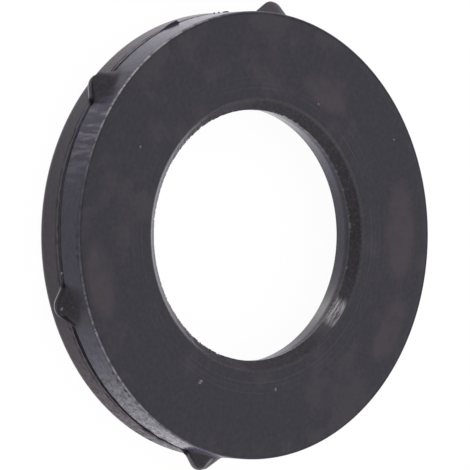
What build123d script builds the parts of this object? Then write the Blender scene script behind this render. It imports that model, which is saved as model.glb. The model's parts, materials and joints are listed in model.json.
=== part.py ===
"""Damper ring: a thick moulded rubber ring with six pointed nibs on its outer wall.

The ring is one piece. It lies on its back face, with +Z along its axis towards the front face
and the origin at the centre of the back face. One nib points along +X. Lengths are in
millimetres and angles in degrees.
"""

import os
from math import cos, radians, sin, tan

from build123d import *

# The body, moulded in two halves that meet at the parting plane
outer_diameter = 25.0
thickness = 3.7
parting_height = 1.85  # of the parting plane above the back face
front_edge_radius = 0.1
back_edge_radius = 0.35

# The groove round the outer wall, just behind the parting plane
groove_width = 0.22
groove_depth = 0.14

# The bore, from the front face to the back face
mouth_diameter = 15.2  # where the front bevel meets the front face
mouth_edge_radius = 0.2
lip_depth = 0.5  # of the lip below the front face
lip_diameter = 14.0  # the tightest part of the bore
lip_land = 0.4  # the straight length behind the lip
waist_diameter = 14.3  # at the parting plane, where the bore starts to flare
flare_angle = 45.0  # of the flare's wall, from the ring's axis
flare_edge_radius = 0.2

# The nibs: half cones with a round tip, whose flat side is level with the groove's back edge
nib_count = 6
nib_height = 0.92  # above the outer wall
nib_half_angle = 44.0  # of the cone, from the nib's own axis
nib_tip_radius = 0.7
nib_core_depth = 0.6  # how deep the cone reaches into the wall

# Radii and heights that follow from the sizes above
outer_radius = outer_diameter / 2
lip_radius = lip_diameter / 2
lip_height = thickness - lip_depth
waist_radius = waist_diameter / 2
groove_back = parting_height - groove_width
flare_radius = waist_radius + parting_height * tan(radians(flare_angle))

# Corners of the section that are rounded, each as (radius, height)
mouth_corner = (mouth_diameter / 2, thickness)
front_corner = (outer_radius, thickness)
back_corner = (outer_radius, 0)
flare_corner = (flare_radius, 0)

with BuildPart() as ring:
    with BuildSketch(Plane.XZ) as section:
        with BuildLine():
            Polyline(
                mouth_corner,
                (lip_radius, lip_height),
                (lip_radius, lip_height - lip_land),
                (waist_radius, parting_height),
                flare_corner,
                back_corner,
                (outer_radius, groove_back),
                (outer_radius - groove_depth, parting_height),
                (outer_radius, parting_height),
                front_corner,
                close=True,
            )
        make_face()
        for corner, radius in (
            (mouth_corner, mouth_edge_radius),
            (front_corner, front_edge_radius),
            (back_corner, back_edge_radius),
            (flare_corner, flare_edge_radius),
        ):
            fillet(section.vertices().sort_by_distance(corner)[0], radius)
    revolve(axis=Axis.Z)

# One nib, drawn level with the groove's back edge with its own axis along X, then turned through
# half a turn to make the half cone that stands in front of that level
half_angle = radians(nib_half_angle)
tip_centre = outer_radius + nib_height - nib_tip_radius
tip_end = (tip_centre + nib_tip_radius * sin(half_angle), nib_tip_radius * cos(half_angle))
core_level = outer_radius - nib_core_depth
core_half_width = tip_end[1] + (tip_end[0] - core_level) * tan(half_angle)

with BuildPart() as nib:
    with BuildSketch(Plane.XY.offset(groove_back)):
        with BuildLine():
            tip = CenterArc((tip_centre, 0), nib_tip_radius, 0, 90 - nib_half_angle)
            Polyline(tip @ 1, (core_level, core_half_width), (core_level, 0), tip @ 0)
        make_face()
    nib_axis = Axis((0, 0, groove_back), (1, 0, 0))
    revolve(axis=nib_axis, revolution_arc=180)

with BuildPart() as damper_ring:
    add(ring.part)
    with PolarLocations(0, nib_count):
        add(nib.part)

damper_ring.part.label = "damper_ring"
os.makedirs("parts", exist_ok=True)
export_step(damper_ring.part, "parts/damper_ring.step")
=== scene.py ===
"""Render scene for the damper ring: black moulded rubber lying face up on a white studio floor.

One fine mesh stands for the solid. It sweeps the same section round the axis, raises the nibs from
the outer wall, and adds the small faults of a moulded and trimmed rubber part. Lengths are in
millimetres until the mesh is made. Angles are in degrees, round the ring from the nib on +X.
"""

import json
import math

import bpy
import numpy as np
from mathutils import Matrix, Vector


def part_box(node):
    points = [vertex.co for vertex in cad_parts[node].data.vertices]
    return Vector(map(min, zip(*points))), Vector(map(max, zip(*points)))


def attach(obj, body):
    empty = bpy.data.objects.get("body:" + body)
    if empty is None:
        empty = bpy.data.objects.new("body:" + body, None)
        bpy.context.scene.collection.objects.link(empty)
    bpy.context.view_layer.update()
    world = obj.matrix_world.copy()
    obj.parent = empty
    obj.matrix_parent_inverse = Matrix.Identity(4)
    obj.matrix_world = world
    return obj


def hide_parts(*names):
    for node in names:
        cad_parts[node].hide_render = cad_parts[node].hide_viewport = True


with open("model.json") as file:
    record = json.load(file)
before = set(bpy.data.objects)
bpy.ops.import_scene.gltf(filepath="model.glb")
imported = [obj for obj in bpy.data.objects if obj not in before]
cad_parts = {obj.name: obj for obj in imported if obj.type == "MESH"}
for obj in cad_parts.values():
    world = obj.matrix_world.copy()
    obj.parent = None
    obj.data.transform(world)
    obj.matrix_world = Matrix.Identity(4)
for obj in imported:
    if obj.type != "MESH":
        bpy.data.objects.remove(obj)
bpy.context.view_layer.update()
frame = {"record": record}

MM = 0.001
NODE = "damper_ring"
low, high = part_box(NODE)
mounts = {mount["name"]: mount for mount in frame["record"]["mounts"]}

# Sizes that the frame gives
SKIN = 0.004  # how far the mesh stays inside the solid
OUTER_R = (high.y - low.y) / 2 / MM - SKIN
THICKNESS = (high.z - low.z) / MM - SKIN
NIB_HEIGHT = (high.x - low.x) / 2 / MM - SKIN - OUTER_R
LIP_R = mounts["bore"]["dims"]["r_mm"]
LAND = mounts["bore"]["dims"]["length_mm"]
LIP_Z = mounts["bore"]["pos_m"][2] / MM + LAND / 2

# The rest of the section, as in the part's source
PARTING_Z = 1.85
GROOVE_WIDTH = 0.22
GROOVE_BACK = PARTING_Z - GROOVE_WIDTH
GROOVE_MIDDLE = PARTING_Z - GROOVE_WIDTH / 2
MOUTH_R = 7.6
WAIST_R = 7.15
FLARE_R = WAIST_R + PARTING_Z
FRONT_EDGE = 0.1
BACK_EDGE = 0.35
MOUTH_EDGE = 0.2
FLARE_EDGE = 0.2

# The nibs, as in the part's source
NIB_COUNT = 6
NIB_HALF_ANGLE = 44.0
NIB_TIP_R = 0.7
SECTOR = 360 / NIB_COUNT  # from one nib to the next

# The nibs as moulded
NIB_RIM_R = 0.13  # of the rounding between its cone and its flat side
NIB_ROOT_BLEND = 0.12  # how softly it grows out of the wall

# How each nib differs, as soft mouldings do, from the one on +X and round the ring
NIB_SHIFT = (0.2, 0.25, -0.7, -0.3, 0.2, -0.1)  # round the ring
NIB_SCALE = (1.0, 0.9, 0.95, 0.93, 0.96, 0.97)  # of its height
NIB_DULL_AND_SHADE = (0.1, 0.7, 0.9, 0.9, 0.8, 0.8)  # how dull and dark its cone is; the darkness is partly painted shade
# How deep its crease is and how dark its painted shade is, on the flank towards the nib before and on
# the one towards the nib after
NIB_CREASES = ((0.1, 0.1), (0.0, 1.0), (0.1, 1.0), (0.2, 0.0), (0.6, 0.6), (0.6, 0.6))
# The two mould halves don't quite meet, so a nib's foot stands out behind its crease
LEDGE_TURN = (0.2, 1.1, -0.7, -0.8, -0.3, 0.4)
LEDGE_GAIN = 0.05  # of its height
LEDGE_LIGHT = (0.1, 0.22, 0.08, 0.35, 0.15, 0.15)  # how much painted light lightens its shaded skirt
WARM_NIB = 0  # its cone is as warm as the patches on the face
HIGHLIGHT_NIB = 3  # a thin painted highlight runs up its cone
HIGHLIGHT_PLACE, HIGHLIGHT_REACH = 84.0, 6.0  # degrees round the cone, from its flat side

# The groove and the lines beside it, which are uneven
GROOVE_DEPTH = 0.15
USUAL_DEPTH, DEPTH_WAVE, TEAR_DEPTH = 0.8, 0.4, 0.6  # shares of it: usual, varying, where torn
GROOVE_BOW = 0.24  # how far the groove wanders towards the front
GROOVE_WAVE = 0.02  # and to either side
FRONT_WAVE, BACK_WAVE = 0.03, 0.04  # how uneven its edges are
GROOVE_LUMP = 0.07  # how much wider it gets where it is torn
GROOVE_GAPE = 0.065  # how much wider it gets where it gapes, on each side
CREASE_DEPTH = 0.1  # where it runs over a nib
SEAM_Z = 1.46  # a faint second line behind the groove
SEAM_WIDTH = 0.1
SEAM_DEPTH = 0.03
BURR_WIDTH = 0.12  # of the shallow line just inside the front face's edge
BURR_DEPTH = 0.02
LIP_TEAR = 0.06  # how rough the lip's edge is
LIP_DROP = 0.05
TOOL_MARKS = 0.02  # how uneven the trimmed bevel is
SPLICE_MARKS = 0.05  # how much more uneven it is where it is torn

# Moulding flash on the groove
BLOB_ANGLE, BLOB_Z = 33.6, 1.62  # a lump
BLOB_REACH = 3.8  # round the ring
BLOB_HEIGHT = 0.34
BLOB_SLOPE = 0.04  # of its middle line
BLOB_RISE = 0.17
BLOB_DIRT = 0.65  # how dark it is
THREADS = ((19.0, 0.5), (17.2, 0.5), (15.0, 1.3))  # threads: angle and reach
THREAD_RISE = 0.07
THREAD_WIDTH = 0.06

# Places round the ring, each as angle and reach
BOW_AT = (105.0, 17.0)  # where the groove wanders
TEAR_AT = (129.0, 9.0)  # its longest tear
GAPE_AT = (158.0, 24.0)  # where it gapes and its painted shade is wider
BEADS_AT = (101.0, 16.0)  # beads of dirt along its back edge
SHINY_AT = (156.0, 28.0)  # where the wall took the mould's polish
SATIN_AT = (32.0, 23.0)  # where it took a little less of it
DRAWN_AT = (73.0, 11.0)  # where fine lines run across the front band
SPLICE_AT = (-116.0, 6.5)  # where the trimmed bevel is torn, with painted highlight streaks
WARM_BORE_AT = (-116.0, 16.0)  # where the bore is a warmer black, beside the splice
BEVEL_HIGHLIGHT_AT = (-122.0, 9.0)  # where the bevel takes a painted highlight, beside the splice
RAGGED_AT = (-9.0, 15.0)  # where the lip is the most ragged
BLOOM_AT = (-28.0, 26.0)  # where the bore has a violet bloom
DULL_BORE_AT = (-75.0, 38.0)
GLOSSY_BORE_AT = (-113.0, 12.0)
MATT_BORE_AT = (-154.0, 35.0)
CHIPS = ((142.0, 12.0), (104.0, 7.0))  # small dark chips behind the front edge

# Places with a third value
PITS = ((160.7, 1.5, 0.09), (166.0, 1.1, 0.06))  # torn pits, and how much wider the groove is there
BURRS = ((92.0, 42.0, 0.7), (0.0, 45.0, 0.45))  # how dark the painted shadow along the line inside the front edge is
GLINTS = ((-6.0, 13.0, 1.0), (-75.0, 40.0, 0.35))  # how strong the painted glints on the lip's torn edge are
EDGE_HIGHLIGHTS = ((52.0, 26.0, 1.0), (142.0, 26.0, 0.7), (-60.0, 50.0, 0.2))  # how strong the painted highlight on the front edge is

# Soft warm patches on the front face: radius, angle and reach
PATCHES = ((11.3, 114.0, 1.1), (10.4, 281.0, 1.3), (9.3, 340.0, 0.9), (11.0, 251.0, 1.0))
PATCH_LENGTH = 2.4  # how much longer a patch is round the ring than it is wide
# Pale nicks: radius, angle, height and reach
NICKS = (
    (9.18, 163.6, THICKNESS, 0.07),
    (9.1, 164.0, THICKNESS, 0.09),
    (9.0, 164.4, THICKNESS, 0.07),
    (8.7, 199.0, THICKNESS, 0.07),
    (9.6, 71.0, THICKNESS, 0.05),
    (11.3, 310.0, THICKNESS, 0.06),
    (8.5, 341.0, THICKNESS, 0.05),
    (12.48, 110.6, PARTING_Z, 0.08),
    (13.13, 118.8, 2.15, 0.06),
)

# Random curves round the ring: the coarsest wave, the finest wave and the seed
DEPTH_CURVE = (20, 400, 1)  # of the groove's depth
FRONT_CURVE = (30, 500, 2)  # of its front edge
BACK_CURVE = (12, 300, 3)  # of its back edge
PATCHY_CURVE = (5, 200, 4)  # where the seam and the burr line come and go
LIP_CURVE = (25, 480, 5)
LIP_PATCH_CURVE = (3, 20, 6)  # where the lip is rougher
BOW_CURVE = (2, 40, 7)  # of the groove's level
EDGE_HIGHLIGHT_CURVE = (60, 480, 8)  # of the strength of the front edge's painted highlight
LUMP_CURVE = (10, 250, 9)  # where the groove is torn
MARKS_CURVE = (30, 400, 10)  # of the bevel's first row; each row after it has the next seed
GLINT_CURVE = (12, 300, 21)
SHADE_CURVE = (8, 150, 31)  # of the width of the groove's painted shade
CHIP_CURVE = (50, 400, 33)
BEAD_CURVE = (60, 480, 34)

# The mesh's columns
NIB_REACH = 7.5  # each side of a nib, where the columns stand close
FINE_STEP = 0.25
COARSE_STEP = 0.75
NIB_STEPS = 6  # of the search for a nib's surface along a column
SHARP_ANGLE = 35  # from one face to the next, above which their edge isn't shaded smooth


def wander(angles, coarsest, finest, seed):
    """A random curve round the ring, from -1 to 1, made of waves from coarsest to finest."""
    chance = np.random.default_rng(seed)
    waves = np.arange(coarsest, finest + 1)
    phases = chance.uniform(0, 2 * np.pi, waves.size)
    sizes = chance.normal(size=waves.size) / np.sqrt(waves)
    turns = np.outer(waves, np.radians(angles)) + phases[:, None]
    curve = (sizes[:, None] * np.cos(turns)).sum(0)
    return curve / np.abs(curve).max()


def peaks(angles, curve, gain, loss):
    """The peaks of a random curve, from 0 to 1: short separate bits with nothing between them."""
    return np.clip(gain * wander(angles, *curve) - loss, 0, 1)


def ease(value, start, end):
    """0 before start, 1 after end and smooth between them."""
    t = np.clip((value - start) / (end - start), 0, 1)
    return t * t * (3 - 2 * t)


def column_angles():
    """Where the mesh's columns stand: close together at the nibs, wider between them."""
    beside = np.arange(-NIB_REACH, NIB_REACH, FINE_STEP)
    between = np.arange(NIB_REACH, SECTOR - NIB_REACH, COARSE_STEP)
    offsets = np.concatenate([beside, between])
    return np.concatenate([nib * SECTOR + offsets for nib in range(NIB_COUNT)])


def rounded(before, corner, after, radius, steps):
    """Points of the arc that rounds a corner, or the corner itself where there is no radius."""
    if not radius:
        return [corner]
    back, ahead = (before - corner).normalized(), (after - corner).normalized()
    half = back.angle(ahead) / 2
    centre = corner + (back + ahead).normalized() * radius / math.sin(half)
    first = corner + back * radius / math.tan(half) - centre
    last = corner + ahead * radius / math.tan(half) - centre
    turn = first.angle_signed(last)
    return [
        centre + Vector((
            first.x * math.cos(turn * k / steps) + first.y * math.sin(turn * k / steps),
            first.y * math.cos(turn * k / steps) - first.x * math.sin(turn * k / steps),
        ))
        for k in range(steps + 1)
    ]


# Corners of the section, from the mouth outwards and round to the lip: radius and height, rounding,
# steps in the arc, steps to the next corner, and the zone that follows
SECTION = (
    (MOUTH_R, THICKNESS, MOUTH_EDGE, 5, 13, "front face"),
    (OUTER_R - FRONT_EDGE - BURR_WIDTH, THICKNESS, 0, 0, 4, "burr"),
    (OUTER_R, THICKNESS, FRONT_EDGE, 4, 22, "front band"),
    (OUTER_R, PARTING_Z, 0, 0, 4, "groove front"),
    (OUTER_R - GROOVE_DEPTH, PARTING_Z, 0, 0, 10, "groove slope"),
    (OUTER_R, GROOVE_BACK, 0, 0, 4, "flat side"),
    (OUTER_R, GROOVE_BACK, 0, 0, 2, "back land"),
    (OUTER_R, SEAM_Z + SEAM_WIDTH / 2, 0, 0, 4, "seam"),
    (OUTER_R, SEAM_Z - SEAM_WIDTH / 2, 0, 0, 9, "back band"),
    (OUTER_R, SKIN, BACK_EDGE, 5, 3, "back face"),
    (FLARE_R, SKIN, FLARE_EDGE, 3, 4, "flare"),
    (WAIST_R, PARTING_Z, 0, 0, 6, "neck"),
    (LIP_R, LIP_Z - LAND, 0, 0, 4, "land"),
    (LIP_R, LIP_Z, 0, 0, 7, "bevel"),
)

# Zones of the outer wall, of its rear half, of the bore and of its trimmed mouth
FRONT_ZONES = ("edge before front band", "front band")
GROOVE_ZONES = ("groove front", "groove slope")
BACK_ZONES = ("flat side", "back land", "seam", "back band", "edge before back face")
WALL_ZONES = FRONT_ZONES + GROOVE_ZONES + BACK_ZONES
FLASH_ZONES = GROOVE_ZONES + BACK_ZONES[:-1]
BORE_ZONES = ("flare", "neck", "land")
CUT_ZONES = ("bevel", "edge before front face")
NIB_ZONES = FRONT_ZONES + GROOVE_ZONES  # the ones that climb the nibs

# Where a nib's crease and skirt end, as shares of the groove's rows
CREASE_SHARE = 0.3
RIM_SHARE = 0.57


def section_rows():
    """The section as rows of the mesh: their radii, heights and zones."""
    corners = [Vector(corner[:2]) for corner in SECTION]
    arcs = []
    for k, (_, _, radius, steps, _, _) in enumerate(SECTION):
        before, after = corners[k - 1], corners[(k + 1) % len(corners)]
        arcs.append(rounded(before, corners[k], after, radius, steps))
    rows = []
    for k, (_, _, _, _, steps, zone) in enumerate(SECTION):
        start, end = arcs[k][-1], arcs[(k + 1) % len(arcs)][0]
        edge = "edge before " + zone
        rows += [(point.x, point.y, edge) for point in arcs[k][:-1]]
        rows += [(*start.lerp(end, step / steps), zone) for step in range(steps)]
    radii, heights, zones = zip(*rows)
    return np.array(radii), np.array(heights), np.array(zones)


def rows_of(zones, *names):
    """The numbers of the rows in these zones, in order."""
    return np.flatnonzero(np.isin(zones, names))


def nib_profile(distance, scale):
    """How far from the ring's axis a nib's surface stands, at a distance from its own axis."""
    half = math.radians(NIB_HALF_ANGLE)
    tip_centre = OUTER_R + NIB_HEIGHT * scale - NIB_TIP_R
    reach = NIB_TIP_R * math.cos(half)
    dome = tip_centre + np.sqrt(np.maximum(NIB_TIP_R**2 - distance**2, 0))
    cone = tip_centre + NIB_TIP_R * math.sin(half) - (distance - reach) / math.tan(half)
    return np.where(distance < reach, dome, cone)


def nearest_nib(angles):
    """The number of the nib nearest to each angle."""
    return np.round(angles * NIB_COUNT / 360).astype(int) % NIB_COUNT


def nib_surface(angles, heights, ledge=0.0):
    """The radius of the nearest nib's surface. It is the nib's own at a ledge of 0, its foot's at 1."""
    nearest = nearest_nib(angles)
    shift = np.array(NIB_SHIFT)[nearest] + ledge * np.array(LEDGE_TURN)[nearest]
    scale = np.array(NIB_SCALE)[nearest] + ledge * LEDGE_GAIN
    scale = np.minimum(scale, 1)
    turn = np.radians((angles - shift + SECTOR / 2) % SECTOR - SECTOR / 2)
    above = np.maximum(heights - GROOVE_BACK, 0)
    radius = np.full(above.shape, OUTER_R + NIB_HEIGHT / 2)
    for _ in range(NIB_STEPS):
        distance = np.hypot(radius * np.sin(turn), above)
        radius = nib_profile(distance, scale) / np.cos(turn)
    return radius


def hump(value, centre, reach):
    """1 at the centre, and fading away over the reach on either side."""
    return np.exp(-(((value - centre) / reach) ** 2))


def around(angles, centre):
    """How far round the ring each angle is from a centre, from -180 to 180."""
    return (angles - centre + 180) % 360 - 180


def near(angles, centre, reach):
    """1 at a place on the ring, and fading away over the reach on either side."""
    return hump(around(angles, centre), 0, reach)


def near_any(angles, places):
    """The humps of several places, each as strong as its third value."""
    return sum(strength * near(angles, centre, reach) for centre, reach, strength in places)


def from_nib(angles):
    """How far round the ring each angle is from the nearest nib's true place."""
    return around(angles, nearest_nib(angles) * SECTOR)


def nib_presence(angles):
    """1 where a nib stands at the foot of its flat side, and 0 between the nibs."""
    level = nib_surface(angles[None], np.full((1, angles.size), GROOVE_BACK))[0]
    return ease(level - OUTER_R, 0.0, 0.15)


def nib_creases(angles):
    """How deep and dark the nearest nib's crease is at each angle, on one flank or the other."""
    before, after = np.array(NIB_CREASES)[nearest_nib(angles)].T
    return before + (after - before) * ease(from_nib(angles), -0.8, 0.8)


def patchiness(angles):
    """How clearly the moulding lines show round the ring: they come and go."""
    return np.clip(0.5 + wander(angles, *PATCHY_CURVE), 0.1, 1)


def groove_bow(angles):
    """How far the groove has wandered from its level, towards the front."""
    return GROOVE_BOW * near(angles, *BOW_AT) + GROOVE_WAVE * wander(angles, *BOW_CURVE)


def bend_lines(angles, heights, zones):
    """Lets the groove, and the wall's rows on either side of it, follow its bow."""
    bow = groove_bow(angles)
    rows = rows_of(zones, *WALL_ZONES)
    above = (THICKNESS - FRONT_EDGE - heights[rows]) / (THICKNESS - FRONT_EDGE - PARTING_Z)
    below = (heights[rows] - BACK_EDGE) / (PARTING_Z - BACK_EDGE)
    heights[rows] += bow * np.clip(np.minimum(above, below), 0, 1)


def cut_lines(angles, radii, heights, zones):
    """Makes the groove and the seam behind it as uneven as a real moulding line."""
    tear = near(angles, *TEAR_AT)
    cut = USUAL_DEPTH + DEPTH_WAVE * wander(angles, *DEPTH_CURVE) + TEAR_DEPTH * tear
    lumps = GROOVE_LUMP * (peaks(angles, LUMP_CURVE, 1, 0.25) + tear)
    lumps = lumps + near_any(angles, PITS)
    gape = GROOVE_GAPE * near(angles, *GAPE_AT)
    front = FRONT_WAVE * wander(angles, *FRONT_CURVE) + lumps * 0.6 + gape
    back = BACK_WAVE * wander(angles, *BACK_CURVE) - lumps - gape
    middle = GROOVE_MIDDLE + groove_bow(angles)
    for row in rows_of(zones, *GROOVE_ZONES):
        radii[row] = OUTER_R - (OUTER_R - radii[row]) * np.clip(cut, 0.3, None)
        share = np.clip((heights[row] - middle) / GROOVE_WIDTH + 0.5, 0, 1)
        heights[row] += front * share + back * (1 - share)
    patchy = patchiness(angles)
    seam = rows_of(zones, "seam")
    for k, row in enumerate(seam):
        radii[row] -= SEAM_DEPTH * math.sin(math.pi * k / seam.size) * patchy
    burr = rows_of(zones, "burr")
    for k, row in enumerate(burr):
        heights[row] -= BURR_DEPTH * math.sin(math.pi * k / burr.size) * patchy


def press_flash(angles, radii, heights, zones):
    """Raises the lump and the threads of moulding flash on the groove."""
    rows = rows_of(zones, *FLASH_ZONES)
    cover = blob_cover(angles, heights[rows])
    proud = OUTER_R + BLOB_RISE * np.sqrt(cover)
    radii[rows] += np.clip(2 * cover, 0, 1) * (proud - radii[rows])
    threads = thread_cover(angles, heights[rows])
    radii[rows] += threads * (OUTER_R + THREAD_RISE - radii[rows])


def blob_cover(angles, heights):
    """1 on the lump and 0 away from it: thick at one end and drawn out at the other."""
    along = around(angles, BLOB_ANGLE) / BLOB_REACH
    taper = np.clip((1 - along) / 1.7, 0, 1) * ease(along, -1, -0.75)
    middle = BLOB_Z + BLOB_SLOPE * along
    half_height = BLOB_HEIGHT / 2 * (0.3 + 0.7 * taper)
    return taper * np.clip(1 - ((heights - middle) / half_height) ** 2, 0, 1)


def thread_cover(angles, heights):
    """1 on the threads and 0 away from them."""
    threads = sum(np.clip(2 * near(angles, *thread) - 0.5, 0, 1) for thread in THREADS)
    return np.clip(threads, 0, 1) * hump(heights, GROOVE_MIDDLE, THREAD_WIDTH)


def raise_nibs(angles, radii, heights, zones):
    """Lifts the outer wall's rows onto the nibs, creases and rounds them, and lays their flat sides."""
    presence = nib_presence(angles)
    bow = groove_bow(angles)
    rows = rows_of(zones, *GROOVE_ZONES)
    share = np.arange(rows.size) / rows.size
    # On a nib, the groove's rows spread over a crease, a narrow skirt and the rounded rim
    quarter = np.clip((share - RIM_SHARE) / (1 - RIM_SHARE), 0, 1) * np.pi / 2
    straight = PARTING_Z - (GROOVE_WIDTH - NIB_RIM_R) * np.clip(share / RIM_SHARE, 0, 1)
    rim_level = GROOVE_BACK + NIB_RIM_R * (1 - np.sin(quarter))
    on_nib = np.where(share > RIM_SHARE, rim_level, straight)[:, None] + bow
    heights[rows] += presence * (on_nib - heights[rows])

    wall = rows_of(zones, *NIB_ZONES)
    ledge = np.zeros(wall.size)
    ledge[-rows.size:] = ease(share, CREASE_SHARE * 0.7, CREASE_SHARE * 1.1)
    nib = nib_surface(angles[None], heights[wall], ledge[:, None])
    # A soft maximum of wall and nib blends the root
    gap = nib - radii[wall]
    blend = np.clip(0.5 + 0.5 * gap / NIB_ROOT_BLEND, 0, 1)
    lifted = radii[wall] + blend * gap + NIB_ROOT_BLEND * blend * (1 - blend)
    radii[wall] = np.where(gap > -NIB_ROOT_BLEND, lifted, radii[wall])
    crease = CREASE_DEPTH * np.sin(np.pi * np.clip(share / CREASE_SHARE, 0, 1))
    crease = crease[:, None] * (0.3 + 0.7 * nib_creases(angles))
    radii[rows] -= (crease + NIB_RIM_R * (1 - np.cos(quarter))[:, None]) * presence

    rim = radii[rows[-1]]
    flat = rows_of(zones, "flat side")
    for k, row in enumerate(flat):
        radii[row] = rim + (OUTER_R - rim) * k / flat.size


def tear_lip(angles, radii, heights, zones):
    """Leaves the lip's edge and the bevel rough, as where moulding flash was trimmed off."""
    torn = np.abs(wander(angles, *LIP_CURVE))
    torn = torn * np.clip(0.5 + wander(angles, *LIP_PATCH_CURVE), 0.15, 1)
    torn = torn * (1 + near(angles, *RAGGED_AT))
    land = rows_of(zones, "land")
    bevel = rows_of(zones, "bevel")
    # The lip's edge is the bevel's first row, and the rows beside it follow it less and less
    for row, share in zip((*land[1:], *bevel[:2]), (0.1, 0.3, 0.6, 1, 0.4)):
        radii[row] += LIP_TEAR * torn * share
    heights[bevel[0]] -= LIP_DROP * torn
    splice = near(angles, *SPLICE_AT)
    coarsest, finest, seed = MARKS_CURVE
    for k, row in enumerate(bevel):
        swing = math.sin(math.pi * k / bevel.size) * (TOOL_MARKS + SPLICE_MARKS * splice)
        radii[row] += swing * (1 + wander(angles, coarsest, finest, seed + k))


def ring_mesh():
    """The whole ring as one mesh, with attributes that the rubber's material reads."""
    angles = column_angles()
    base_radii, base_heights, zones = section_rows()
    radii = np.repeat(base_radii[:, None], angles.size, 1)
    heights = np.repeat(base_heights[:, None], angles.size, 1)
    bend_lines(angles, heights, zones)
    cut_lines(angles, radii, heights, zones)
    press_flash(angles, radii, heights, zones)
    raise_nibs(angles, radii, heights, zones)
    tear_lip(angles, radii, heights, zones)

    turn = np.radians(angles)
    points = np.stack([radii * np.cos(turn), radii * np.sin(turn), heights], -1) * MM
    mesh = bpy.data.meshes.new("ring")
    vertices, faces, kept = stitch(points)
    mesh.from_pydata(vertices, [], faces)
    mesh.update()
    mesh.shade_smooth()
    mesh.set_sharp_from_angle(angle=math.radians(SHARP_ANGLE))
    for name, values in surface_masks(angles, radii, heights, zones).items():
        layer = mesh.attributes.new(name, "FLOAT", "POINT")
        layer.data.foreach_set("value", [values[i, j] for i, j in kept])
    return mesh


# Strengths of the polish, as (where it is shiny, where it is satin)
WALL_POLISH = (1.1, 0.5)
BACK_POLISH = (0.02, 0.14)
BORE_POLISH = 0.6
DULL_BORE, GLOSSY_BORE, MATT_BORE = -0.62, 0.6, -0.75  # what these places add to the bore's polish
CUT_POLISH = 0.6
NIB_BAND_LOSS = 0.6  # how much less a nib's front is like the wall
NIB_POLISH_LOSS = 0.5
MATT_BLOOM = 0.7
PLAIN_SPECKS = 0.12  # how specked the rubber is where it isn't shiny

# How much of the groove's width takes painted shade: usually, how it varies, where it is torn, where it
# gapes
SHADE_WIDTH, SHADE_WAVE, TEAR_SHADE, GAPE_SHADE = 0.7, 0.4, 0.4, 1.5

# Strengths of the dirt and painted shade, and of the pale wear and painted highlights
SEAM_DIRT = 0.6
# Painted shadow along the burr line, all round
BURR_SHADE = 0.1
PIT_SHADE = 0.8  # on the wall in front of a pit
MOUTH_HIGHLIGHT = 0.06  # painted highlight on the bore's mouth edge
# More painted highlight on the mouth edge where the bore blooms
BLOOM_HIGHLIGHT = 0.04
BEVEL_WEAR = 0.035
# Painted highlight on the bevel beside the splice
BEVEL_HIGHLIGHT = 0.08
SPLICE_HIGHLIGHT = 0.35  # painted highlight on the bore behind the splice
# Strength of the painted highlight on one nib's cone
CONE_HIGHLIGHT = 0.6

# What the material reads. A band is a wall that the mould gave its bluish polish, and a cut is dull.
# The dark mask holds dirt and painted shade, the pale one wear and painted highlights, and torn holds
# painted highlight streaks
MASKS = ("band", "back", "cut", "dirt", "wear", "shine", "bloom", "warm", "speck", "drawn", "torn")


def surface_masks(angles, radii, heights, zones):
    """For each vertex, the strength of every mask. Later marks change earlier ones."""
    masks = {name: np.zeros(heights.shape) for name in MASKS}
    mark_zones(masks, zones)
    mark_polish(masks, angles, zones)
    mark_groove(masks, angles, zones)
    mark_lines(masks, angles, zones)
    mark_flash(masks, angles, heights, zones)
    mark_nibs(masks, angles, heights, zones)
    mark_edges(masks, angles, zones)
    mark_rims(masks, angles, zones)
    mark_cone_highlight(masks, angles, radii, heights, zones)
    mark_patches(masks, angles, radii, zones)
    return masks


def mark_zones(masks, zones):
    """Tells the walls, their rear half and the trimmed mouth from the flat faces."""
    masks["band"][rows_of(zones, *WALL_ZONES, *BORE_ZONES)] = 1
    masks["band"][rows_of(zones, "edge before front band")] = 0.5
    masks["back"][rows_of(zones, *BACK_ZONES)] = 1
    masks["cut"][rows_of(zones, *CUT_ZONES)] = 1


def mark_polish(masks, angles, zones):
    """Polish, bloom and specks of the wall and the bore. Nibs have less polish and no bloom."""
    shiny, satin = near(angles, *SHINY_AT), near(angles, *SATIN_AT)
    masks["shine"][:] = WALL_POLISH[0] * shiny + WALL_POLISH[1] * satin
    masks["shine"][rows_of(zones, *BACK_ZONES)] = BACK_POLISH[0] * shiny + BACK_POLISH[1] * satin
    masks["bloom"][:] = np.clip(shiny + satin, 0, 1)
    masks["speck"][:] = PLAIN_SPECKS + (1 - PLAIN_SPECKS) * shiny
    masks["drawn"][rows_of(zones, "front band")] = near(angles, *DRAWN_AT)

    bore = rows_of(zones, *BORE_ZONES)
    dull, glossy, matt = (near(angles, *at) for at in (DULL_BORE_AT, GLOSSY_BORE_AT, MATT_BORE_AT))
    polish = BORE_POLISH + DULL_BORE * dull + GLOSSY_BORE * glossy + MATT_BORE * matt
    warm = near(angles, *WARM_BORE_AT)
    masks["shine"][bore] = np.clip(polish, 0, 1)
    masks["bloom"][bore] = np.maximum.reduce([near(angles, *BLOOM_AT), warm, MATT_BLOOM * matt])
    masks["back"][bore] = warm
    masks["shine"][rows_of(zones, *CUT_ZONES)] = CUT_POLISH

    presence = nib_presence(angles)
    masks["bloom"] *= 1 - presence
    masks["band"][rows_of(zones, "front band")] *= 1 - NIB_BAND_LOSS * presence
    masks["shine"][rows_of(zones, "front band")] *= 1 - NIB_POLISH_LOSS * presence


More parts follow.
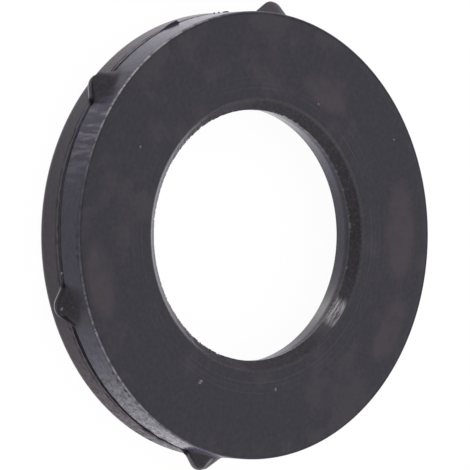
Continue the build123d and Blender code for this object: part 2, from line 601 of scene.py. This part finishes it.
def mark_groove(masks, angles, zones):
    """Painted shade in the groove between the nibs, and in the creases at their feet."""
    width = np.clip(SHADE_WIDTH + SHADE_WAVE * wander(angles, *SHADE_CURVE), 0.5, 1)
    width = width + TEAR_SHADE * near(angles, *TEAR_AT)
    width = np.maximum(width, GAPE_SHADE * near(angles, *GAPE_AT))
    presence, creases = nib_presence(angles), nib_creases(angles)
    groove = rows_of(zones, *GROOVE_ZONES)
    # The groove's rows are painted near-black as shade; on a nib, only its crease is
    for k, row in enumerate(groove):
        share = k / groove.size
        on_wall = np.clip(1.7 * np.sin(np.pi * np.clip(share / width, 0, 1)), 0, 1)
        in_crease = np.clip(1.6 * math.sin(math.pi * min(share / CREASE_SHARE, 1)), 0, 1)
        masks["dirt"][row] = on_wall + presence * (creases * in_crease - on_wall)


def mark_lines(masks, angles, zones):
    """Painted shade in the pits and along the burr line, and dirt in the beads behind the groove, the
    chips and the seam.
    """
    pits = pit_cover(angles)
    patchy = patchiness(angles)
    beads = peaks(angles, BEAD_CURVE, 4, 0.6) * near(angles, *BEADS_AT)
    chips = sum(near(angles, *chip) for chip in CHIPS) * peaks(angles, CHIP_CURVE, 4, 0.8)
    # Painted shadow along the burr line
    burr = (BURR_SHADE + near_any(angles, BURRS)) * np.clip(2 * patchy, 0.4, 1)
    masks["dirt"][rows_of(zones, "back land")] = np.maximum(pits, beads)
    masks["dirt"][rows_of(zones, "front band")[:3]] = chips
    masks["dirt"][rows_of(zones, "seam")] = np.maximum(SEAM_DIRT * patchy, pits)
    masks["dirt"][rows_of(zones, "burr")[2:]] = burr


def pit_cover(angles):
    """1 at the torn pits and 0 away from them."""
    return np.clip(sum(near(angles, centre, reach) for centre, reach, _ in PITS), 0, 1)


def mark_flash(masks, angles, heights, zones):
    """The lump and the threads hide the groove's painted shade and are darkish themselves."""
    rows = rows_of(zones, *FLASH_ZONES)
    lump = np.clip(3 * blob_cover(angles, heights[rows]), 0, 1)
    lump = np.maximum(lump, thread_cover(angles, heights[rows]))
    masks["dirt"][rows] = np.maximum(masks["dirt"][rows] * (1 - lump), BLOB_DIRT * lump)


def mark_nibs(masks, angles, heights, zones):
    """The nibs' cones, dull and dark like the cut rubber, a darkness that is partly painted shade, and
    the painted shade in front of creases and pits.
    """
    rows = rows_of(zones, *NIB_ZONES)
    nearest = nearest_nib(angles)
    lift = nib_surface(angles[None], heights[rows]) - OUTER_R
    # The cones' dark colour is partly painted shade, stronger on some nibs than on others
    dull = np.array(NIB_DULL_AND_SHADE)[nearest] * ease(lift, -0.3, 0.08)
    masks["cut"][rows] = np.maximum(masks["cut"][rows], dull)
    masks["warm"][rows] = ease(lift, 0, 0.2) * (nearest == WARM_NIB)
    masks["band"][rows] *= 1 - ease(lift, -0.5, -0.05)
    away = -from_nib(angles) * np.sign(np.array(LEDGE_TURN)[nearest])
    shade = nib_creases(angles) * nib_presence(angles) * ease(away, 0.3, 1.0)
    masks["dirt"][rows_of(zones, "front band")[-3:]] = np.maximum(shade, PIT_SHADE * pit_cover(angles))


def mark_edges(masks, angles, zones):
    """Painted highlights on the front edge, on the bore's mouth and at the splice, painted glints on
    the lip's torn edge, and wear of the bevel.
    """
    # Painted highlight along the front edge
    edge_highlight = near_any(angles, EDGE_HIGHLIGHTS)
    edge_highlight = edge_highlight * np.clip(0.65 + 0.9 * wander(angles, *EDGE_HIGHLIGHT_CURVE), 0.05, 1)
    masks["wear"][rows_of(zones, "edge before front band")[1:]] = edge_highlight
    # Painted highlight along the bore's mouth edge
    bloom = near(angles, *BLOOM_AT)
    masks["wear"][rows_of(zones, "edge before front face")] = MOUTH_HIGHLIGHT + BLOOM_HIGHLIGHT * bloom

    splice = near(angles, *SPLICE_AT)
    bevel = rows_of(zones, "bevel")
    wear = BEVEL_WEAR * (1 - near(angles, *DULL_BORE_AT)) + BEVEL_HIGHLIGHT * near(angles, *BEVEL_HIGHLIGHT_AT)
    # Painted glints on the lip's torn edge
    glints = peaks(angles, GLINT_CURVE, 2, 0.2) * near_any(angles, GLINTS)
    masks["wear"][bevel] = wear
    masks["wear"][bevel[0]] = np.maximum(glints, wear)
    # Painted highlight on the bore behind the splice, and pale streaks painted on the bevel there as
    # highlights
    masks["wear"][rows_of(zones, "neck", "flare")] = SPLICE_HIGHLIGHT * splice
    masks["torn"][bevel] = ease(splice, 0.1, 0.65)


def mark_rims(masks, angles, zones):
    """Painted highlights on the nibs' rims, and painted light on the shaded skirts between them and the
    creases.
    """
    nearest = nearest_nib(angles)
    tilt = np.array(LEDGE_TURN)[nearest]
    proud = ease(from_nib(angles) * np.sign(tilt), -1.5, 1.0) * np.abs(tilt)
    pale = np.array(LEDGE_LIGHT)[nearest]
    presence = nib_presence(angles)
    groove = rows_of(zones, *GROOVE_ZONES)
    for k, row in enumerate(groove):
        rim = ease(k / groove.size, RIM_SHARE - 0.1, RIM_SHARE + 0.1)
        skirt = ease(k / groove.size, CREASE_SHARE * 0.4, CREASE_SHARE * 0.8)
        skirt = skirt * pale * (1 - masks["dirt"][row])
        # Rims take painted highlights on the side where the foot stands proud, and skirts take painted
        # light
        masks["wear"][row] = np.clip(np.maximum(rim * proud, skirt) * presence, 0, 1)
        masks["cut"][row] *= 1 - masks["wear"][row]


def mark_cone_highlight(masks, angles, radii, heights, zones):
    """The thin painted highlight that runs up one nib's cone."""
    rows = rows_of(zones, *NIB_ZONES)
    turn = np.radians(around(angles, HIGHLIGHT_NIB * SECTOR + NIB_SHIFT[HIGHLIGHT_NIB]))
    round_nib = np.degrees(np.arctan2(heights[rows] - GROOVE_BACK, radii[rows] * np.sin(turn)))
    lift = nib_surface(angles[None], heights[rows]) - OUTER_R
    on_nib = ease(lift, 0.1, 0.25) * (nearest_nib(angles) == HIGHLIGHT_NIB)
    highlight = hump(round_nib, HIGHLIGHT_PLACE, HIGHLIGHT_REACH) * on_nib
    masks["wear"][rows] = np.maximum(masks["wear"][rows], CONE_HIGHLIGHT * highlight)


def mark_patches(masks, angles, radii, zones):
    """The warm patches on the front face."""
    for radius, angle, reach in PATCHES:
        along = radius * np.radians(around(angles, angle)) / PATCH_LENGTH
        for row in rows_of(zones, "front face", "burr"):
            gap = np.hypot(radii[row] - radius, along)
            masks["warm"][row] = np.maximum(masks["warm"][row], ease(gap, reach, reach * 0.6))


SAME_POINT = 1e-7  # metres between points that count as one


def stitch(points):
    """Joins a closed grid of points into faces. Points that coincide with the row before are shared."""
    rows, columns, _ = points.shape
    numbers = np.zeros((rows, columns), int)
    kept = []
    for i in range(rows):
        for j in range(columns):
            same = i > 0 and np.abs(points[i, j] - points[i - 1, j]).max() < SAME_POINT
            if same:
                numbers[i, j] = numbers[i - 1, j]
            else:
                numbers[i, j] = len(kept)
                kept.append((i, j))
    faces = []
    for i in range(rows):
        below = (i + 1) % rows
        for j in range(columns):
            beside = (j + 1) % columns
            ring = (numbers[i, j], numbers[below, j], numbers[below, beside], numbers[i, beside])
            corners = list(dict.fromkeys(int(n) for n in ring))
            if len(corners) > 2:
                faces.append(corners)
    vertices = [points[i, j] for i, j in kept]
    return vertices, faces, kept


class Graph:
    """A short way to write the nodes of a material or of the world."""

    def __init__(self, owner):
        owner.use_nodes = True
        self.nodes, self.links = owner.node_tree.nodes, owner.node_tree.links

    def add(self, kind, inputs=(), output=0, **settings):
        """Adds a node, sets or links its inputs and returns one of its output sockets."""
        node = self.nodes.new("ShaderNode" + kind)
        for name, value in settings.items():
            setattr(node, name, value)
        for key, value in dict(inputs).items():
            self.set(node.inputs[key], value)
        return node.outputs[output]

    def set(self, socket, value):
        """Links an input to another node's output, or gives it a plain value."""
        if isinstance(value, bpy.types.NodeSocket):
            self.links.new(value, socket)
        else:
            socket.default_value = value

    def math(self, operation, *values):
        """The result of a sum on values or sockets."""
        return self.add("Math", dict(enumerate(values)), operation=operation)

    def ramp(self, value, start, end, low=0.0, high=1.0):
        """Maps value from start..end to low..high, held at both ends."""
        return self.add("MapRange", enumerate((value, start, end, low, high)))

    def noise(self, place, scale, detail, roughness):
        """A noise from 0 to 1."""
        inputs = {"Vector": place, "Scale": scale, "Detail": detail, "Roughness": roughness}
        return self.add("TexNoise", inputs)

    def pattern(self, place, pattern):
        """One of the named patterns below."""
        scale, detail, roughness, start, end, low, high = pattern
        return self.ramp(self.noise(place, scale, detail, roughness), start, end, low, high)

    def stretch(self, place, factors):
        """Places scaled by a factor along each axis."""
        return self.add("VectorMath", {0: place, 1: factors}, operation="MULTIPLY")

    def blend(self, share, first, second):
        """A colour between two colours."""
        return self.add("Mix", {0: share, 6: first, 7: second}, 2, data_type="RGBA")

    def mask(self, name):
        """One of the mesh's own masks."""
        return self.add("Attribute", (), "Fac", attribute_name=name)


# Linear colours of the rubber
COOL = (0.0165, 0.0165, 0.0245, 1)
WARM = (0.034, 0.028, 0.037, 1)
RUSTY = (0.043, 0.033, 0.040, 1)
BLUISH = (0.004, 0.0025, 0.018, 1)
BROWNISH = (0.018, 0.010, 0.011, 1)
DUSKY = (0.007, 0.006, 0.015, 1)
LAVENDER = (0.014, 0.008, 0.052, 1)
ROSY = (0.036, 0.013, 0.014, 1)
CHALKY = (0.110, 0.100, 0.130, 1)
DULL = (0.005, 0.002, 0.005, 1)
STAIN = (0.013, 0.009, 0.014, 1)
GRIT = (0.034, 0.031, 0.039, 1)
# Near-black, for specks, real dirt and painted shade
SOOT_AND_SHADE = (0.001, 0.001, 0.002, 1)
DUSTY = (0.050, 0.045, 0.052, 1)
# Pale, for wear, nicks and rings, and for painted highlights
PALE_WEAR_AND_HIGHLIGHT = (0.42, 0.40, 0.43, 1)
VEIL = (0.55, 0.3, 1.0, 1)  # the faint violet that the rubber shows at grazing angles

# Patterns: the noise's scale per millimetre, its detail and roughness, the stretch of its values
# that counts, and what the two ends of that stretch stand for
CLOUDS = (0.4, 5, 0.6, 0.5, 0.62, 0, 0.9)
RUST = (0.9, 5, 0.6, 0.4, 0.55, 0.6, 1)
MOTTLE = (1.1, 4, 0.6, 0.35, 0.7, 0, 1)
DUST = (3.5, 5, 0.8, 0.42, 0.7, 0, 0.4)
DRAWN_LINES = (3.5, 3, 0.6, 0.45, 0.62, 0, 1)
SPECKS = (4, 4, 0.85, 0.42, 0.62, 0, 1)
SMEARS = (1.8, 4, 0.6, 0.45, 0.7, 0, 1)
FLECKS = (6, 3, 0.8, 0.5, 0.66, 0, 0.8)
# Streaks painted as highlights at the splice
GLINT_STREAKS = (1.4, 4, 0.7, 0.4, 0.6, 0, 1)
ROUGHNESS = (2.2, 4, 0.65, 0.3, 0.7, 0.40, 0.52)
NICK_EDGES = (9, 2, 0.5, 0.3, 0.7, -0.09, 0.09)
MOULD_RINGS = (7.0, 1, 0.5, 0.52, 0.7, 0, 0.045)
RING_PATCHES = (0.3, 2, 0.5, 0.4, 0.55, 0, 1)

# Noise that shapes the relief: scale, detail and roughness
GRAIN = (9, 3, 0.6)
DENTS = (1.6, 3, 0.55)
TEARS = (5, 4, 0.7)

# How the patterns are stretched, faded and weighed
DRAWN_STRETCH = (1, 1, 0.15)  # the drawn lines run along the axis
GLINT_STREAK_STRETCH = (0.5, 0.5, 15)  # the painted highlight streaks at the splice run round the ring
NICK_SHARE = 0.35  # how pale a nick is
RINGS_FADE_IN, RINGS_FADE_OUT = (7.9, 8.3), (9.4, 9.0)  # from nothing to full, as radii
WALL_MOTTLE = 0.2
BAND_SPECKS = 0.8
BAND_SMOOTH, SHADE_AND_DIRT_ROUGH, SPECK_ROUGH = 0.2, 0.4, 0.35  # what they take from or add to the roughness

# The shader
RUBBER_IOR = 1.4
COAT_START, COAT_END = 0.38, 0.58  # the polish shows from here on, towards grazing angles
COAT_ROUGHNESS = 0.15
SHEEN, SHEEN_ROUGHNESS = 0.1, 0.45
GRAIN_SHARE, TEAR_SHARE = 0.3, 2.0  # of the relief, beside the dents
RELIEF, RELIEF_DEPTH = 0.5, 0.03  # its strength, and its depth in millimetres


def nicks_and_rings(graph, place):
    """Pale nicks, and the faint rings that the mould left on the front face round the bore."""
    pale = 0.0
    for radius, angle, height, reach in NICKS:
        turn = math.radians(angle)
        centre = (radius * math.cos(turn), radius * math.sin(turn), height)
        gap = graph.add("VectorMath", {0: place, 1: centre}, "Value", operation="DISTANCE")
        ragged = graph.math("ADD", gap, graph.pattern(place, NICK_EDGES))
        nick = graph.ramp(ragged, reach, reach * 0.5, 0, NICK_SHARE)
        pale = graph.math("MAXIMUM", pale, nick)
    flat = graph.stretch(place, (1, 1, 0))
    radius = graph.add("VectorMath", {0: flat}, "Value", operation="LENGTH")
    rings = graph.pattern(graph.add("CombineXYZ", {0: radius}), MOULD_RINGS)
    inner, outer = graph.ramp(radius, *RINGS_FADE_IN), graph.ramp(radius, *RINGS_FADE_OUT)
    rings = graph.math("MULTIPLY", rings, graph.math("MINIMUM", inner, outer))
    rings = graph.math("MULTIPLY", rings, graph.pattern(place, RING_PATCHES))
    return graph.math("MAXIMUM", pale, rings)


def rubber():
    """Black moulded rubber: satin faces, polished walls, dull cuts and dark lines."""
    material = bpy.data.materials.new("rubber")
    graph = Graph(material)
    place = graph.add("TexCoord", (), "Object")
    place = graph.add("VectorMath", {0: place, 3: 1 / MM}, operation="SCALE")  # millimetres
    masks = {name: graph.mask(name) for name in MASKS}
    specks = graph.pattern(place, SPECKS)
    specks = graph.math("MULTIPLY", specks, graph.math("MULTIPLY", masks["band"], BAND_SPECKS))
    specks = graph.math("MULTIPLY", specks, masks["speck"])
    settings = {
        "Base Color": rubber_colour(graph, place, masks, specks),
        "Roughness": rubber_roughness(graph, place, masks, specks),
        "IOR": RUBBER_IOR,
        "Coat Weight": rubber_polish(graph, masks, specks),
        "Coat Roughness": COAT_ROUGHNESS,
        "Sheen Weight": SHEEN,
        "Sheen Roughness": SHEEN_ROUGHNESS,
        "Sheen Tint": VEIL,
        "Normal": rubber_relief(graph, place, masks),
    }
    shader = graph.nodes["Principled BSDF"]
    for name, value in settings.items():
        graph.set(shader.inputs[name], value)
    return material


def rubber_colour(graph, place, masks, specks):
    """Cool and warm clouds, bluish walls, a brownish back band, then real dirt and painted shade, and
    wear and painted highlights on top.
    """
    colour = graph.blend(graph.pattern(place, CLOUDS), COOL, WARM)
    rust = graph.math("MULTIPLY", graph.pattern(place, RUST), masks["warm"])
    colour = graph.blend(rust, colour, RUSTY)
    mottle = graph.pattern(place, MOTTLE)
    walls = graph.blend(masks["back"], BLUISH, graph.blend(mottle, BROWNISH, DUSKY))
    walls = graph.blend(masks["bloom"], walls, graph.blend(masks["back"], LAVENDER, ROSY))
    walls = graph.blend(graph.math("MULTIPLY", mottle, WALL_MOTTLE), walls, WARM)
    colour = graph.blend(masks["band"], colour, walls)
    colour = graph.blend(graph.pattern(place, DUST), colour, DUSTY)
    drawn = graph.pattern(graph.stretch(place, DRAWN_STRETCH), DRAWN_LINES)
    colour = graph.blend(graph.math("MULTIPLY", drawn, masks["drawn"]), colour, CHALKY)
    colour = graph.blend(specks, colour, SOOT_AND_SHADE)
    smears = graph.blend(graph.pattern(place, SMEARS), DULL, STAIN)
    trimmed = graph.blend(graph.pattern(place, FLECKS), smears, GRIT)
    colour = graph.blend(masks["cut"], colour, trimmed)
    # Near-black for the dark mask: real dirt, and painted shade in the groove, creases, pits, burr line
    # and in front of the creases
    colour = graph.blend(masks["dirt"], colour, SOOT_AND_SHADE)
    # Pale streaks painted at the splice as highlights
    streaks = graph.pattern(graph.stretch(place, GLINT_STREAK_STRETCH), GLINT_STREAKS)
    # Pale: wear, nicks and mould rings, and painted highlights on edges, rims, the lip and the splice
    pale = graph.math("MAXIMUM", masks["wear"], nicks_and_rings(graph, place))
    pale = graph.math("MAXIMUM", pale, graph.math("MULTIPLY", masks["torn"], streaks))
    return graph.blend(pale, colour, PALE_WEAR_AND_HIGHLIGHT)


def rubber_roughness(graph, place, masks, specks):
    """Satin, smoother on the walls and rougher where there is real dirt, painted shade or a speck."""
    rough = graph.pattern(place, ROUGHNESS)
    rough = graph.math("SUBTRACT", rough, graph.math("MULTIPLY", masks["band"], BAND_SMOOTH))
    rough = graph.math("ADD", rough, graph.math("MULTIPLY", masks["dirt"], SHADE_AND_DIRT_ROUGH))
    return graph.math("ADD", rough, graph.math("MULTIPLY", specks, SPECK_ROUGH))


def rubber_polish(graph, masks, specks):
    """The mould's polish, which shows at grazing angles and neither on real dirt and painted shade nor
    on specks.
    """
    facing = graph.add("LayerWeight", {"Blend": 0.5}, "Facing")
    polish = graph.math("MULTIPLY", graph.ramp(facing, COAT_START, COAT_END), masks["shine"])
    for cover in (masks["dirt"], specks):
        polish = graph.math("MULTIPLY", polish, graph.math("SUBTRACT", 1.0, cover))
    return polish


def rubber_relief(graph, place, masks):
    """A fine grain, shallow dents, and the tears of the cut rubber."""
    tears = graph.math("MULTIPLY", masks["cut"], TEAR_SHARE)
    tears = graph.math("MULTIPLY", graph.noise(place, *TEARS), tears)
    grain = graph.math("MULTIPLY", graph.noise(place, *GRAIN), GRAIN_SHARE)
    relief = graph.math("ADD", graph.math("ADD", grain, graph.noise(place, *DENTS)), tears)
    return graph.add("Bump", {"Strength": RELIEF, "Distance": RELIEF_DEPTH * MM, "Height": relief})


# The white studio
FLOOR_SIZE = 4
FLOOR_Z = -0.00002  # just below the ring, in metres
FLOOR_WHITE = (0.9, 0.9, 0.9, 1)
FLOOR_GLOW = 1.03
FLOOR_GLOW_SHARE = 0.93  # the rest of the floor takes the ring's soft shadow
SURROUND = 0.9  # how bright the surround lights the ring


def add_floor():
    """A plain white floor that shows white and keeps a trace of the ring's soft shadow."""
    bpy.ops.mesh.primitive_plane_add(size=FLOOR_SIZE, location=(0, 0, FLOOR_Z))
    floor = bpy.context.object
    floor.name = "floor"
    material = bpy.data.materials.new("floor")
    graph = Graph(material)
    graph.nodes.remove(graph.nodes["Principled BSDF"])
    plain = graph.add("BsdfDiffuse", {"Color": FLOOR_WHITE})
    glow = graph.add("Emission", {"Strength": FLOOR_GLOW})
    mix = graph.add("MixShader", {0: seen_rays(graph, FLOOR_GLOW_SHARE), 1: plain, 2: glow})
    graph.set(graph.nodes["Material Output"].inputs["Surface"], mix)
    floor.data.materials.append(material)


def seen_rays(graph, share=1.0):
    """Holds share for camera, glossy and transmission rays, and 0 for the others."""
    seen = 0.0
    for name in ("Is Camera Ray", "Is Glossy Ray", "Is Transmission Ray"):
        seen = graph.math("MAXIMUM", seen, graph.add("LightPath", (), name))
    return graph.math("MULTIPLY", seen, share)


def light_studio():
    """An even white surround, which shows as plain white."""
    world = bpy.data.worlds.new("studio")
    bpy.context.scene.world = world
    graph = Graph(world)
    surround = graph.nodes["Background"]
    surround.inputs["Color"].default_value = (1, 1, 1, 1)
    surround.inputs["Strength"].default_value = SURROUND
    white = graph.add("Background", {"Color": (1, 1, 1, 1)})
    surround = surround.outputs["Background"]
    mix = graph.add("MixShader", {0: seen_rays(graph), 1: surround, 2: white})
    graph.set(graph.nodes["World Output"].inputs["Surface"], mix)


# The camera looks down on the ring from the side of the second and third nibs
VIEW_TILT = 38.49  # between the ring's axis and the camera's own axis
VIEW_TURN = 79.16  # of the nib on +X, anticlockwise from the picture's right
VIEW_ROLL = -0.34  # of the ring's axis in the picture
VIEW_DISTANCE = 250.0  # to the centre of the front face
VIEW_OFFSET = (1.344, -0.016)  # of that centre, right of and above the middle of the picture
VIEW_LENS = 343.6


def add_camera():
    """A long lens, as for a catalogue picture, at the photograph's angle."""
    data = bpy.data.cameras.new("camera")
    data.sensor_width = 36
    data.lens = VIEW_LENS
    data.clip_start, data.clip_end = 0.01, 10
    camera = bpy.data.objects.new("camera", data)
    bpy.context.scene.collection.objects.link(camera)
    # How the ring's frame stands in the camera's own
    stand = Matrix.Rotation(math.radians(VIEW_ROLL), 4, "Z")
    stand @= Matrix.Rotation(math.radians(VIEW_TILT), 4, "Y")
    stand @= Matrix.Rotation(math.radians(VIEW_TURN), 4, "Z")
    place = Matrix.Translation(Vector((*VIEW_OFFSET, -VIEW_DISTANCE)) * MM)
    front_centre = Matrix.Translation(Vector((0, 0, -THICKNESS)) * MM)
    camera.matrix_world = (place @ stand @ front_centre).inverted()
    bpy.context.scene.camera = camera


ring = bpy.data.objects.new("rubber_ring", ring_mesh())
bpy.context.scene.collection.objects.link(ring)
ring.data.materials.append(rubber())
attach(ring, "root")
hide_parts(NODE)

add_floor()
light_studio()
add_camera()
bpy.context.scene.view_settings.view_transform = "Standard"
